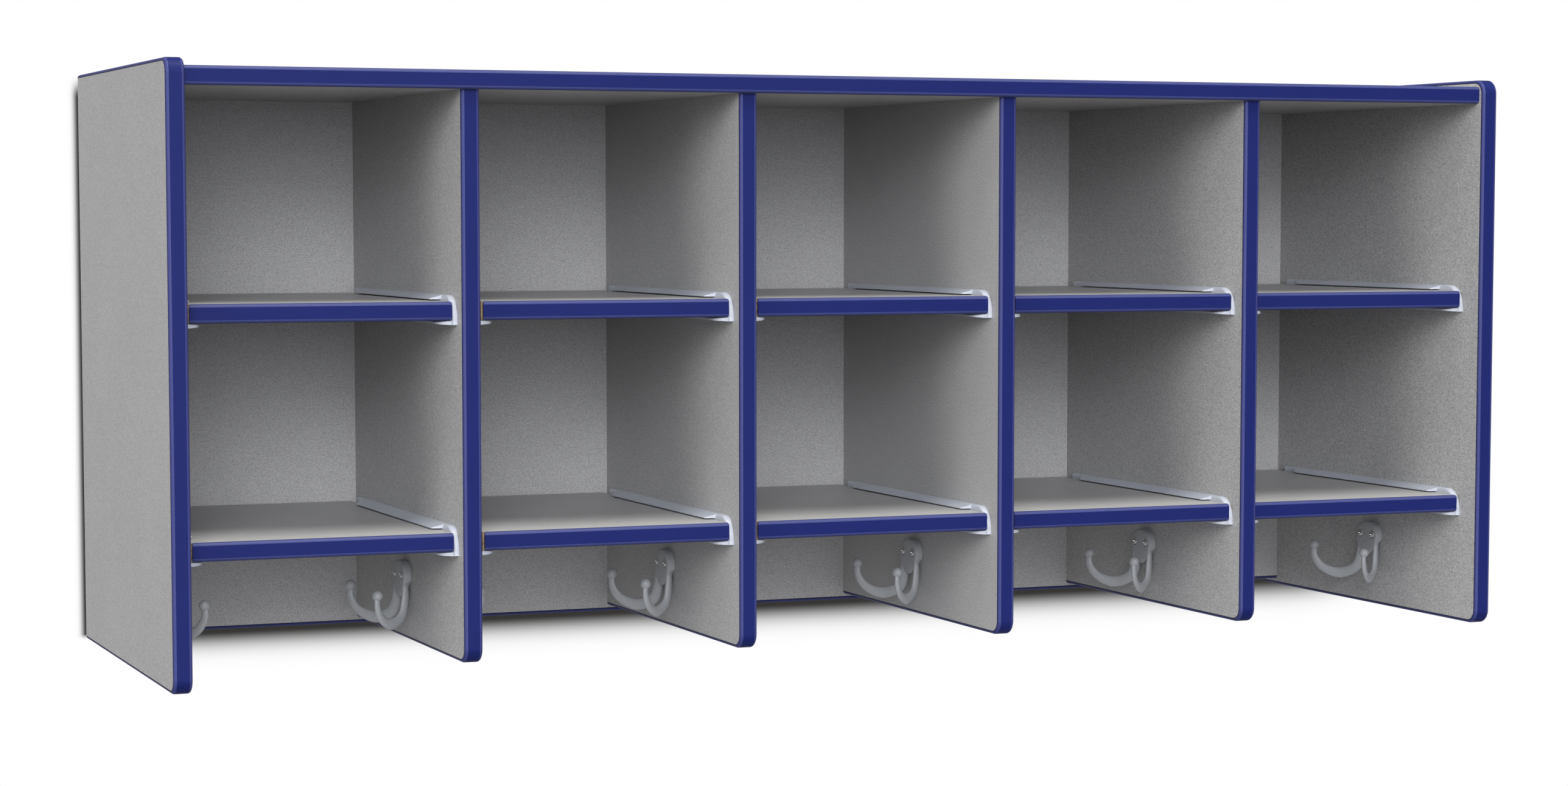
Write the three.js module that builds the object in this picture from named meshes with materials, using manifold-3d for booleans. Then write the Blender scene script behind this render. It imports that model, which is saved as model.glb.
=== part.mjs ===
import * as THREE from "three";
import { mergeVertices } from "three/addons/utils/BufferGeometryUtils.js";
import Module from "manifold-3d";

// A wall-hung cubby and coat-hook unit. Five bays stand side by side under one top board. Each bay has
// two shelves that slide in plastic rails, and a coat space below with a double hook on either side.
// Millimetres, +Z up, X to the right, the open front toward -Y, the wall behind at +Y.

// Whole unit
const UNIT_WIDTH = 1232;
const UNIT_DEPTH = 381;
const UNIT_HEIGHT = 504;
const BAYS = 5;

// Boards and their edge band
const BOARD = 15.6; // thickness of every laminated board
const BAND = 3; // thickness of the edge band
const BAND_ROUND = 2.7; // radius on the two long edges of the band
const CORNER_RADIUS = 12.7; // front corners of ends and partitions
const TOP_DROP = 6.1; // the ends stand above the top board
const TOP_INSET = 6.1; // and in front of it
const PARTITION_INSET = 12.3; // partition fronts behind the ends' fronts
const PARTITION_LIFT = 11.3; // partition feet above the ends' feet
const BACK_INSET = 8.2; // the ends reach past the back board to the wall
const BACK_LIFT = 5.9; // back board's foot above the ends' feet
const STRIP_END_ROUND = 2.4; // corners at the two ends of the top board's band

// Shelves
const UPPER_SHELF_TOP = 309.4; // above the ends' feet
const LOWER_SHELF_TOP = 118.7;
const SHELF_INSET = 25.4; // shelf fronts behind the ends' fronts
const SHELF_SIDE_GAP = 5; // from a shelf's end to the board beside it
const SHELF_BACK_GAP = 2; // from a shelf's rear edge to the back board
const SHELF_END_ROUND = 1.6; // corners at the two ends of a shelf's band
const BAND_ROOT = 1; // how far a shelf's band is let into its board

// Shelf rails
const RAIL_SETBACK = 2.5; // nose of the rail behind the shelf's front
const RAIL_BACK_GAP = 20.8; // from a rail's rear end to the back board
const RAIL_REACH = 16.6; // free edge of the lower flange, from the board
const UPPER_REACH = 14; // and of the upper one
const WEB_GAP = 0.4; // between a rail's web and the shelf's end
const RAIL_OVER = 5; // web's top above the shelf's top
const UPPER_ROOT = 3.6; // thickness of the upper flange at the web
const UPPER_EDGE = 0.7; // and at its free edge
const UPPER_GAP = 1.1; // its flat underside above the shelf
const SLIDE_GAP = 0.3; // running gap between a shelf and the flange that carries it
const LOWER_ROOT = 3.4; // thickness of the lower flange at the web
const LOWER_EDGE = 1.7; // and at its free edge
const LOWER_FALL = 0.9; // its upper face falls this much to the free edge
const NOSE_LENGTH = 18; // rounding at the upper front of the web
const NOSE_HEIGHT = 20;
const TONGUE_ROOT = 31.5; // front of the upper flange at the web, from the nose
const TONGUE_TIP = 35; // and at its free edge
const LOWER_TIP = 12; // front of the lower flange at its free edge, from the nose
const REAR_ROOT = 18.5; // flanges end before the web's rear end, at the web
const REAR_TIP = 39; // and at the lower one's free edge

// Double coat hooks
const HOOK_SETBACK = 177; // centre of the plate behind its own board's front
const HOOK_HEIGHT = 68; // centre of the plate above the ends' feet
const PLATE_HALF_WIDTH = 17.5;
const PLATE_RISE = 12.7; // plate above its centre
const PLATE_FALL = 19.8; // and below it, to the tip
const PLATE_RIM = 6.4; // height of the plate's flank
const PLATE_CROWN = 7.9; // thickness at the middle of its slightly domed face
const ARM_ROOT_OUT = 4.8; // start of an arm's centre line, off the board
const ARM_ROOT_SIDE = 12.9; // and to the side of the plate's centre
const ARM_ROOT_DROP = 7.9;
const BALL_OUT = 38; // centre of the ball, off the board
const BALL_SIDE = 44.9;
const BALL_DROP = 12.7;
const ARM_SAG = 39.6; // lowest point of an arm's centre line under the plate's centre
const BALL_RADIUS = 4.65;
const ARM_DEEP = 5.2; // half the arm's section at its lowest point, in the arm's own plane
const ARM_THICK = 2.8; // and across that plane, at the plate

const CUT_OVERRUN = 5; // how far every cutter runs past what it cuts
const WELD = 0.0001;
const ROUND_STEPS = 3; // facets on a small rounding
const CORNER_STEPS = 7; // and on a board's corner
const ARC_STEPS = 6; // and on the curves of a rail

// Places that follow from the sizes above
const PITCH = (UNIT_WIDTH - BOARD) / BAYS;
const FRONT = BACK_INSET - UNIT_DEPTH; // fronts of the ends; the back board's rear face is at zero
const REAR = BACK_INSET; // rear edges of the ends
const BACK_FACE = -BOARD; // front face of the back board
const UNDER_TOP = UNIT_HEIGHT - TOP_DROP - BOARD;
const BACK_FOOT = BACK_LIFT + BAND;
const ORIGIN_HEIGHT = (BACK_FOOT + UNDER_TOP) / 2; // middle of the back board's rear face
const SHELF_FRONT = FRONT + SHELF_INSET;
const RAIL_NOSE = SHELF_FRONT + RAIL_SETBACK;
const RAIL_REAR = BACK_FACE - RAIL_BACK_GAP;
const RAIL_WEB = SHELF_SIDE_GAP - WEB_GAP;

const leftFace = (i) => -UNIT_WIDTH / 2 + i * PITCH;
const rightFace = (i) => leftFace(i) + BOARD;

const V2 = (x, y) => new THREE.Vector2(x, y);
const V3 = (x, y, z) => new THREE.Vector3(x, y, z);

const wasm = await Module();
wasm.setup();

// Solids
function solidOf(geometry) {
  const open = geometry.index ? geometry.toNonIndexed() : geometry;
  const bare = new THREE.BufferGeometry();
  bare.setAttribute("position", open.getAttribute("position"));
  const merged = mergeVertices(bare, WELD);
  return new wasm.Manifold(
    new wasm.Mesh({
      numProp: 3,
      vertProperties: merged.attributes.position.array,
      triVerts: new Uint32Array(merged.index.array),
    }),
  );
}

function geometryOf(solid) {
  const mesh = solid.getMesh();
  const positions = new Float32Array(mesh.numVert * 3);
  for (let i = 0; i < mesh.numVert; i++)
    positions.set(
      mesh.vertProperties.subarray(i * mesh.numProp, i * mesh.numProp + 3),
      i * 3,
    );
  const geometry = new THREE.BufferGeometry();
  geometry.setAttribute("position", new THREE.BufferAttribute(positions, 3));
  geometry.setIndex(new THREE.BufferAttribute(mesh.triVerts, 1));
  geometry.computeVertexNormals();
  return geometry;
}

// A closed body through rings of equal count, each end closed on its own middle point.
function loft(rings) {
  const count = rings[0].length;
  const points = rings.flat().map((p) => p.clone());
  const last = (rings.length - 1) * count;
  const middle = (ring) =>
    ring.reduce((sum, p) => sum.add(p), V3(0, 0, 0)).divideScalar(count);
  const first = points.push(middle(rings[0])) - 1;
  const final = points.push(middle(rings[rings.length - 1])) - 1;
  const faces = [];
  for (let k = 0; k < count; k++) {
    const next = (k + 1) % count;
    faces.push([first, next, k], [final, last + k, last + next]);
    for (let r = 0; r < last; r += count)
      faces.push(
        [r + k, r + next, r + count + next],
        [r + k, r + count + next, r + count + k],
      );
  }
  const volume = faces.reduce((sum, [a, b, c]) => {
    const turned = points[b].clone().cross(points[c]);
    return sum + points[a].dot(turned);
  }, 0);
  if (volume < 0) faces.forEach((face) => face.reverse());
  const geometry = new THREE.BufferGeometry().setFromPoints(points);
  geometry.setIndex(faces.flat());
  return geometry;
}

// A flat shape drawn in depth and height, given its thickness along X.
const ACROSS = new THREE.Matrix4().makeBasis(
  V3(0, 1, 0),
  V3(0, 0, 1),
  V3(1, 0, 0),
);
function slab(outline, left, thickness) {
  return new THREE.ExtrudeGeometry(new THREE.Shape(outline), {
    depth: thickness,
    bevelEnabled: false,
  })
    .applyMatrix4(ACROSS)
    .translate(left, 0, 0);
}

// A section drawn in X and height, run from a rear place to a front one.
const FORWARD = new THREE.Matrix4().makeBasis(
  V3(1, 0, 0),
  V3(0, 0, 1),
  V3(0, -1, 0),
);
function run(section, rear, front) {
  return new THREE.ExtrudeGeometry(new THREE.Shape(section), {
    depth: rear - front,
    bevelEnabled: false,
  })
    .applyMatrix4(FORWARD)
    .translate(0, rear, 0);
}

// A plan shape drawn in X and depth, given its height.
function pillar(plan, foot, height) {
  return new THREE.ExtrudeGeometry(new THREE.Shape(plan), {
    depth: height,
    bevelEnabled: false,
  }).translate(0, 0, foot);
}

// Outlines of the boards, as points with outward normals, so that band and board share one curve.
function corner(y, z, from, radius) {
  return Array.from({ length: CORNER_STEPS + 1 }, (_, i) => {
    const turn = from + (i / CORNER_STEPS) * (Math.PI / 2);
    const normal = V2(Math.cos(turn), Math.sin(turn));
    return { at: V2(y, z).addScaledVector(normal, radius), normal };
  });
}
const inside = ({ at, normal }) => at.clone().addScaledVector(normal, -BAND);

// Section of the band, as pairs of place across the board and depth under its outer face.
function bandSection(width) {
  const rounding = (centre, from) =>
    Array.from({ length: ROUND_STEPS + 1 }, (_, i) => {
      const turn = from + (i / ROUND_STEPS) * (Math.PI / 2);
      return [
        centre + BAND_ROUND * Math.cos(turn),
        BAND_ROUND * (Math.sin(turn) - 1),
      ];
    });
  return [
    [0, -BAND],
    [width, -BAND],
    ...rounding(width - BAND_ROUND, 0),
    ...rounding(BAND_ROUND, Math.PI / 2),
  ];
}

function bandAlong(path, left) {
  const section = bandSection(BOARD);
  return loft(
    path.map(({ at, normal }) =>
      section.map(([across, depth]) => {
        const p = at.clone().addScaledVector(normal, depth);
        return V3(left + across, p.x, p.y);
      }),
    ),
  );
}

// A straight front strip between two X places. Its face is at front, it is as high as a board, and its
// upper and lower corners are rounded off toward both ends.
function frontStrip(left, right, front, foot, thickness, endRound) {
  const section = bandSection(BOARD).map(([across, depth]) => [
    across,
    depth === -BAND ? thickness : -depth,
  ]);
  const ring = (x, shrink) =>
    section.map(([across, depth]) =>
      V3(
        x,
        front + depth,
        foot + Math.min(Math.max(across, shrink), BOARD - shrink),
      ),
    );
  const steps = Array.from(
    { length: ROUND_STEPS + 1 },
    (_, i) => ((i / ROUND_STEPS) * Math.PI) / 2,
  );
  return loft([
    ...steps.map((turn) =>
      ring(
        left + endRound * (1 - Math.sin(turn)),
        endRound * (1 - Math.cos(turn)),
      ),
    ).reverse(),
    ...steps.map((turn) =>
      ring(
        right - endRound * (1 - Math.sin(turn)),
        endRound * (1 - Math.cos(turn)),
      ),
    ),
  ]);
}

// Materials
const finish = (color, roughness, metalness = 0) =>
  new THREE.MeshStandardMaterial({ color, roughness, metalness });
const LAMINATE = finish(0xa3a3a2, 0.55);
const EDGE = finish(0x2a3374, 0.4);
const RAIL_PLASTIC = finish(0xced1d8, 0.42);
const HOOK_PLASTIC = finish(0x868a8f, 0.45);

const unit = new THREE.Group();
function place(name, geometry, material, x = 0, y = 0, z = 0) {
  const mesh = new THREE.Mesh(geometry, material);
  mesh.name = name;
  mesh.position.set(x, y, z);
  unit.add(mesh);
  return mesh;
}

// Ends
const endPath = [
  { at: V2(REAR, UNIT_HEIGHT), normal: V2(0, 1) },
  ...corner(
    FRONT + CORNER_RADIUS,
    UNIT_HEIGHT - CORNER_RADIUS,
    Math.PI / 2,
    CORNER_RADIUS,
  ),
  ...corner(FRONT + CORNER_RADIUS, CORNER_RADIUS, Math.PI, CORNER_RADIUS),
  { at: V2(REAR, 0), normal: V2(0, -1) },
];
for (const [side, i] of [
  ["left", 0],
  ["right", BAYS],
]) {
  place(
    "end_" + side,
    slab(endPath.map(inside), 0, BOARD),
    LAMINATE,
    leftFace(i),
  );
  place("band_end_" + side, bandAlong(endPath, 0), EDGE, leftFace(i));
}

// Partitions
const partitionFront = FRONT + PARTITION_INSET;
const partitionPath = [
  { at: V2(partitionFront, UNDER_TOP), normal: V2(-1, 0) },
  ...corner(
    partitionFront + CORNER_RADIUS,
    PARTITION_LIFT + CORNER_RADIUS,
    Math.PI,
    CORNER_RADIUS,
  ),
  { at: V2(BACK_FACE, PARTITION_LIFT), normal: V2(0, -1) },
];
for (let i = 1; i < BAYS; i++) {
  place(
    "partition_" + i,
    slab([...partitionPath.map(inside), V2(BACK_FACE, UNDER_TOP)], 0, BOARD),
    LAMINATE,
    leftFace(i),
  );
  place(
    "band_partition_" + i,
    bandAlong(partitionPath, 0),
    EDGE,
    leftFace(i),
  );
}

// Top and back
const innerWidth = UNIT_WIDTH - 2 * BOARD;
const topFront = FRONT + TOP_INSET;
const block = (front, rear, foot, head) =>
  slab(
    [V2(front, foot), V2(rear, foot), V2(rear, head), V2(front, head)],
    0,
    innerWidth,
  );
place(
  "top_board",
  block(topFront + BAND, 0, UNDER_TOP, UNDER_TOP + BOARD),
  LAMINATE,
  rightFace(0),
);
place(
  "band_top",
  frontStrip(0, innerWidth, topFront, UNDER_TOP, BAND, STRIP_END_ROUND),
  EDGE,
  rightFace(0),
);
place(
  "back_board",
  block(BACK_FACE, 0, BACK_FOOT, UNDER_TOP),
  LAMINATE,
  rightFace(0),
);
const footSection = bandSection(BOARD).map(([across, depth]) =>
  V2(BACK_FACE + across, BACK_LIFT - depth),
);
place(
  "band_back",
  slab(footSection, 0, innerWidth),
  EDGE,
  rightFace(0),
);

// Shelves, each a board with its front band bonded on
const shelfWidth = PITCH - BOARD - 2 * SHELF_SIDE_GAP;
const shelfRear = BACK_FACE - SHELF_BACK_GAP;
const shelfBoard = slab(
  [
    V2(SHELF_FRONT + BAND, 0),
    V2(shelfRear, 0),
    V2(shelfRear, BOARD),
    V2(SHELF_FRONT + BAND, BOARD),
  ],
  0,
  shelfWidth,
);
const shelfBand = frontStrip(
  0,
  shelfWidth,
  SHELF_FRONT,
  0,
  BAND + BAND_ROOT,
  SHELF_END_ROUND,
);
const shelf = geometryOf(solidOf(shelfBoard).add(solidOf(shelfBand)));

// Rails. Heights are measured from the underside of the shelf that the rail carries, and X from the
// board's face toward the bay.
const railFoot = -SLIDE_GAP - LOWER_ROOT;
const railHead = BOARD + RAIL_OVER;
const underFlange = BOARD + UPPER_GAP;
const channel = [
  V2(0, railFoot),
  V2(RAIL_WEB, railFoot),
  V2(RAIL_REACH, -SLIDE_GAP - LOWER_FALL - LOWER_EDGE),
  V2(RAIL_REACH, -SLIDE_GAP - LOWER_FALL),
  V2(RAIL_WEB, -SLIDE_GAP),
  V2(RAIL_WEB, underFlange),
  V2(UPPER_REACH, underFlange),
  V2(UPPER_REACH, underFlange + UPPER_EDGE),
  V2(RAIL_WEB, underFlange + UPPER_ROOT),
  V2(RAIL_WEB, railHead),
  V2(0, railHead),
];
const quarter = (place) =>
  Array.from({ length: ARC_STEPS + 1 }, (_, i) =>
    place(Math.sin(((i / ARC_STEPS) * Math.PI) / 2), Math.cos(((i / ARC_STEPS) * Math.PI) / 2)),
  );
const noseCurve = quarter((rise, fall) =>
  V2(
    RAIL_NOSE + NOSE_LENGTH * (1 - fall),
    railHead - NOSE_HEIGHT * (1 - rise),
  ),
);
const webProfile = slab(
  [
    V2(RAIL_REAR, railFoot),
    V2(RAIL_REAR, railHead),
    ...noseCurve.reverse(),
    V2(RAIL_NOSE, railFoot),
  ],
  -CUT_OVERRUN,
  RAIL_REACH + 2 * CUT_OVERRUN,
);
const upperWidth = UPPER_REACH - RAIL_WEB;
const lowerWidth = RAIL_REACH - RAIL_WEB;
const beyond = RAIL_REACH + CUT_OVERRUN;
const tongueCut = [
  V2(RAIL_WEB, RAIL_NOSE - CUT_OVERRUN),
  V2(beyond, RAIL_NOSE - CUT_OVERRUN),
  V2(beyond, RAIL_NOSE + TONGUE_TIP),
  ...quarter((across, along) =>
    V2(
      RAIL_WEB + upperWidth * across,
      RAIL_NOSE + TONGUE_TIP - (TONGUE_TIP - TONGUE_ROOT) * along,
    ),
  ).reverse(),
];
const lowerCut = [
  V2(RAIL_WEB, RAIL_NOSE - CUT_OVERRUN),
  V2(beyond, RAIL_NOSE - CUT_OVERRUN),
  V2(beyond, RAIL_NOSE + LOWER_TIP),
  ...quarter((across, along) =>
    V2(
      RAIL_WEB + lowerWidth * along,
      RAIL_NOSE + LOWER_TIP * (1 - across),
    ),
  ),
];
const rearCut = [
  V2(RAIL_WEB, RAIL_REAR - REAR_ROOT),
  V2(RAIL_REACH, RAIL_REAR - REAR_TIP),
  V2(beyond, RAIL_REAR - REAR_TIP),
  V2(beyond, RAIL_REAR + CUT_OVERRUN),
  V2(RAIL_WEB, RAIL_REAR + CUT_OVERRUN),
];
const halfway = BOARD / 2;
const aboveShelf = railHead - halfway + CUT_OVERRUN;
const belowShelf = halfway - railFoot + CUT_OVERRUN;
const rail = geometryOf(
  solidOf(run(channel, RAIL_REAR, RAIL_NOSE))
    .intersect(solidOf(webProfile))
    .subtract(solidOf(pillar(tongueCut, halfway, aboveShelf)))
    .subtract(solidOf(pillar(lowerCut, halfway - belowShelf, belowShelf)))
    .subtract(
      solidOf(pillar(rearCut, railFoot - CUT_OVERRUN, aboveShelf + belowShelf)),
    ),
);

// Double hook, drawn on a board's face: X off the board, Y along it, Z up from the plate's centre.
// Each pair is a share of the plate's half width and of its rise or fall.
const PLATE_FOOT_SHARES = [
  [0, 1],
  [0.4, 0.94],
  [0.74, 0.71],
  [0.95, 0.32],
  [1, -0.08],
  [0.97, -0.22],
  [0.66, -0.42],
  [0.45, -0.66],
  [0.2, -0.9],
  [0, -1],
];
const PLATE_FACE_SHARES = [
  [0, 1],
  [0.4, 0.94],
  [0.74, 0.71],
  [0.95, 0.32],
  [1, -0.08],
  [0.97, -0.34],
  [0.8, -0.61],
  [0.5, -0.84],
  [0.22, -0.97],
  [0, -1],
];
// Each pair is a share of the dome above the flank, and the share of the outline that is left there.
const DOME_SHARES = [
  [0, 1],
  [0.5, 0.96],
  [0.85, 0.82],
  [1, 0.45],
];
const plateOutline = (shares) => {
  const half = shares.map(([across, up]) =>
    V2(across * PLATE_HALF_WIDTH, up * (up > 0 ? PLATE_RISE : PLATE_FALL)),
  );
  return [
    ...half,
    ...half
      .slice(1, -1)
      .reverse()
      .map((p) => V2(-p.x, p.y)),
  ];
};
const plateRing = (outline, off, share) =>
  outline.map((p) => V3(off, p.x * share, p.y * share));
const plateFace = plateOutline(PLATE_FACE_SHARES);
const plate = loft([
  plateRing(plateOutline(PLATE_FOOT_SHARES), 0, 1),
  ...DOME_SHARES.map(([rise, share]) =>
    plateRing(plateFace, PLATE_RIM + rise * (PLATE_CROWN - PLATE_RIM), share),
  ),
]);

// An arm lies in an upright plane from its root to its ball. Each entry is a share of the way out and a
// share of the drop from the root to the lowest point.
const ARM_CURVE_SHARES = [
  [0, 0],
  [-0.01, 0.29],
  [0.07, 0.73],
  [0.21, 0.9],
  [0.5, 1],
  [0.81, 0.85],
  [0.95, 0.64],
  [1.01, 0.42],
];
// Half sizes of the section along the arm, as shares of its greatest.
const ARM_DEEP_SHARES = [0.6, 0.87, 1.02, 1, 1, 0.8, 0.72, 0.61, 0.56];
const ARM_THICK_SHARES = [1, 1, 1, 0.87, 0.74, 0.8, 0.85, 0.8, 0.75];
const ARM_RINGS = 12;
const ARM_SIDES = 8;
const BALL_SIDES = 8;
const BALL_STEPS = 5;

const along = (shares, t) => {
  const place = t * (shares.length - 1);
  const low = Math.min(Math.floor(place), shares.length - 2);
  return THREE.MathUtils.lerp(shares[low], shares[low + 1], place - low);
};
function hookArm(way) {
  const root = V3(ARM_ROOT_OUT, way * ARM_ROOT_SIDE, -ARM_ROOT_DROP);
  const ball = V3(BALL_OUT, way * BALL_SIDE, -BALL_DROP);
  const out = ball.clone().sub(root).setZ(0);
  const lowest = V3(0, 0, ARM_ROOT_DROP - ARM_SAG);
  const curve = new THREE.CatmullRomCurve3([
    ...ARM_CURVE_SHARES.map(([share, drop]) =>
      root.clone().addScaledVector(out, share).addScaledVector(lowest, drop),
    ),
    ball,
  ]);
  const acrossPlane = V3(0, 0, 1).cross(out).normalize();
  const rings = Array.from({ length: ARM_RINGS }, (_, i) => {
    const t = i / (ARM_RINGS - 1);
    const centre = curve.getPoint(t);
    const inPlane = acrossPlane.clone().cross(curve.getTangent(t)).normalize();
    const deep = ARM_DEEP * along(ARM_DEEP_SHARES, t);
    const thick = ARM_THICK * along(ARM_THICK_SHARES, t);
    return Array.from({ length: ARM_SIDES }, (_, k) => {
      const turn = (2 * Math.PI * k) / ARM_SIDES;
      return centre
        .clone()
        .addScaledVector(inPlane, deep * Math.cos(turn))
        .addScaledVector(acrossPlane, thick * Math.sin(turn));
    });
  });
  const meridian = Array.from({ length: BALL_STEPS + 1 }, (_, i) => {
    const turn = Math.PI * (i / BALL_STEPS - 1 / 2);
    const edge = i === 0 || i === BALL_STEPS;
    return V2(edge ? 0 : BALL_RADIUS * Math.cos(turn), BALL_RADIUS * Math.sin(turn));
  });
  const knob = new THREE.LatheGeometry(meridian, BALL_SIDES)
    .applyMatrix4(FORWARD)
    .translate(ball.x, ball.y, ball.z);
  return solidOf(loft(rings)).add(solidOf(knob));
}
const hook = geometryOf(solidOf(plate).add(hookArm(-1)).add(hookArm(1)));

// Shelves, rails and hooks in every bay. What is drawn off a board's right face is mirrored or turned
// round for the face across the bay.
for (let bay = 1; bay <= BAYS; bay++) {
  const leftWall = rightFace(bay - 1);
  const rightWall = leftFace(bay);
  for (const [level, top] of [
    ["upper", UPPER_SHELF_TOP],
    ["lower", LOWER_SHELF_TOP],
  ]) {
    const foot = top - BOARD;
    const bayName = level + "_" + bay;
    place("shelf_" + bayName, shelf, LAMINATE, leftWall + SHELF_SIDE_GAP, 0, foot);
    place("rail_" + bayName + "_left", rail, RAIL_PLASTIC, leftWall, 0, foot);
    place("rail_" + bayName + "_right", rail, RAIL_PLASTIC, rightWall, 0, foot).scale.x = -1;
  }
  const behind = (board) =>
    HOOK_SETBACK + (board === 0 || board === BAYS ? FRONT : partitionFront);
  place("hook_" + bay + "_left", hook, HOOK_PLASTIC, leftWall, behind(bay - 1), HOOK_HEIGHT);
  place(
    "hook_" + bay + "_right",
    hook,
    HOOK_PLASTIC,
    rightWall,
    behind(bay),
    HOOK_HEIGHT,
  ).rotation.z = Math.PI;
}

const group = new THREE.Group();
group.name = "wall_cubby_unit";
unit.position.z = -ORIGIN_HEIGHT;
group.add(unit);

export default group;
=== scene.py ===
import bmesh
import bpy
import math
from mathutils import Matrix, Vector


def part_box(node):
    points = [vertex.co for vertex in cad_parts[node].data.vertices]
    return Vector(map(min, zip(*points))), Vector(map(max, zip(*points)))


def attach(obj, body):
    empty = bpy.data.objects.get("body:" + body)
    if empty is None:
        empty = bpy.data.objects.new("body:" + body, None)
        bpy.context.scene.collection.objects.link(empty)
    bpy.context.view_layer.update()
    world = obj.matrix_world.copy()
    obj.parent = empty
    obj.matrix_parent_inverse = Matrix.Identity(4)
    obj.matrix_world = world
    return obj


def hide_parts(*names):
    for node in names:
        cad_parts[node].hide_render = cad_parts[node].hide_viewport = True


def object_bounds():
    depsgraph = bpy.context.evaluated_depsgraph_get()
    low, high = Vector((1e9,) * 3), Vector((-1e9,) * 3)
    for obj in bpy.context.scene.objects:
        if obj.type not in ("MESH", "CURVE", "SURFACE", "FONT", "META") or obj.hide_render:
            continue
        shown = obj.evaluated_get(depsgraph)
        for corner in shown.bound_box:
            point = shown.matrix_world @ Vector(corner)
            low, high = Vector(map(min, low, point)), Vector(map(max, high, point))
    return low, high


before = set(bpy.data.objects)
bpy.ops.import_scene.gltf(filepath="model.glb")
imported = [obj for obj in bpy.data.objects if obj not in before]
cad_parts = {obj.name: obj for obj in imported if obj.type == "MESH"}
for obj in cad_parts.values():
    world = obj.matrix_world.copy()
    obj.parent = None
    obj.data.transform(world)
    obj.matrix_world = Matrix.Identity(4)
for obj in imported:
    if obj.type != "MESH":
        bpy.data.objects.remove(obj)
cad_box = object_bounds()

# Sizes in metres that the solids have too
MM = 0.001
BAYS = 5
BOARD = 15.6 * MM
BAND = 3 * MM
BAND_ROUND = 2.7 * MM
CORNER_RADIUS = 12.7 * MM
STRIP_END_ROUND = 2.4 * MM
SHELF_END_ROUND = 1.6 * MM
RAIL_REACH = 16.6 * MM
UPPER_REACH = 14 * MM
RAIL_WEB = 4.6 * MM
RAIL_OVER = 5 * MM
UPPER_EDGE = 0.7 * MM
UPPER_GAP = 1.1 * MM
SLIDE_GAP = 0.3 * MM
LOWER_ROOT = 3.4 * MM
LOWER_EDGE = 1.7 * MM
LOWER_FALL = 0.9 * MM
NOSE_LENGTH = 18 * MM
NOSE_HEIGHT = 20 * MM
TONGUE_ROOT = 31.5 * MM
TONGUE_TIP = 35 * MM
LOWER_TIP = 12 * MM
REAR_ROOT = 18.5 * MM
REAR_TIP = 39 * MM
HOOK_HEIGHT = 68 * MM
PLATE_HALF_WIDTH = 17.5 * MM
PLATE_RISE = 12.7 * MM
PLATE_FALL = 19.8 * MM
PLATE_RIM = 6.4 * MM
PLATE_CROWN = 7.9 * MM
ARM_ROOT = Vector((4.8, 12.9, -7.9)) * MM
ARM_SAG = 39.6 * MM
ARM_DEEP = 5.2 * MM
ARM_THICK = 2.8 * MM
BALL = Vector((38, 44.9, -12.7)) * MM
BALL_RADIUS = 4.65 * MM

# Fine forms that only this scene has
BAND_SHORT = 1.2 * MM
NOSE_ROUND = 3 * MM
HEAD_ROUND = 1.9 * MM
RAIL_FOOT_ROUND = 0.3 * MM
FINE_BEVEL = 0.25 * MM
SCREW_SIDE = 10.2 * MM
SCREW_UP = 0.9 * MM
SCREW_SEAT = 6.2 * MM
SCREW_POCKET = 3.9 * MM
SCREW_HOLE = 1.9 * MM
SCREW_CLEAR = 0.02 * MM

# How finely curves are divided
ROUND_STEPS = 8
CORNER_STEPS = 20
END_STEPS = 6
NOSE_STEPS = 24
TONGUE_STEPS = 18
ARM_SIDES = 24
ARM_RINGS = 44
TURNED_SIDES = 32

# How far bodies run into each other before they are joined
FLANGE_SINK = 0.05 * MM
WEDGE_SINK = 0.02 * MM

UNIT_LOW, UNIT_HIGH = cad_box
WALL_FACE = UNIT_HIGH.y
FRONT = UNIT_LOW.y
FOOT = UNIT_LOW.z
HEAD = UNIT_HIGH.z
PITCH = (UNIT_HIGH.x - UNIT_LOW.x - BOARD) / BAYS
QUARTER = math.pi / 2


def srgb(r, g, b):
    def linear(c):
        c /= 255
        return c / 12.92 if c <= 0.04045 else ((c + 0.055) / 1.055) ** 2.4

    return (linear(r), linear(g), linear(b), 1.0)


WHITE = (1, 1, 1, 1)


# Camera
SENSOR_WIDTH = 36
LENS = 75.289
LENS_SHIFT = 0.04
CAMERA_PLACE = (-1.1421, -2.9382, 0.1364)
CAMERA_YAW = math.radians(22.2124)
CAMERA_PITCH = math.radians(-4.2383)


def turned_to(direction):
    return direction.to_track_quat("-Z", "Y")


def photo_camera():
    data = bpy.data.cameras.new("photo_camera")
    data.sensor_width = SENSOR_WIDTH
    data.lens = LENS
    data.shift_y = LENS_SHIFT
    camera = bpy.data.objects.new("photo_camera", data)
    bpy.context.scene.collection.objects.link(camera)
    camera.location = CAMERA_PLACE
    level = math.cos(CAMERA_PITCH)
    ahead = (math.sin(CAMERA_YAW) * level, math.cos(CAMERA_YAW) * level, math.sin(CAMERA_PITCH))
    camera.rotation_mode = "QUATERNION"
    camera.rotation_quaternion = turned_to(Vector(ahead))
    bpy.context.scene.camera = camera


photo_camera()


# Node trees
COLOUR, NUMBER, VECTOR = "NodeSocketColor", "NodeSocketFloat", "NodeSocketVector"
NODES_IN_A_ROW = 8
NODE_STEP_X, NODE_STEP_Y = 220, -280


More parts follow.
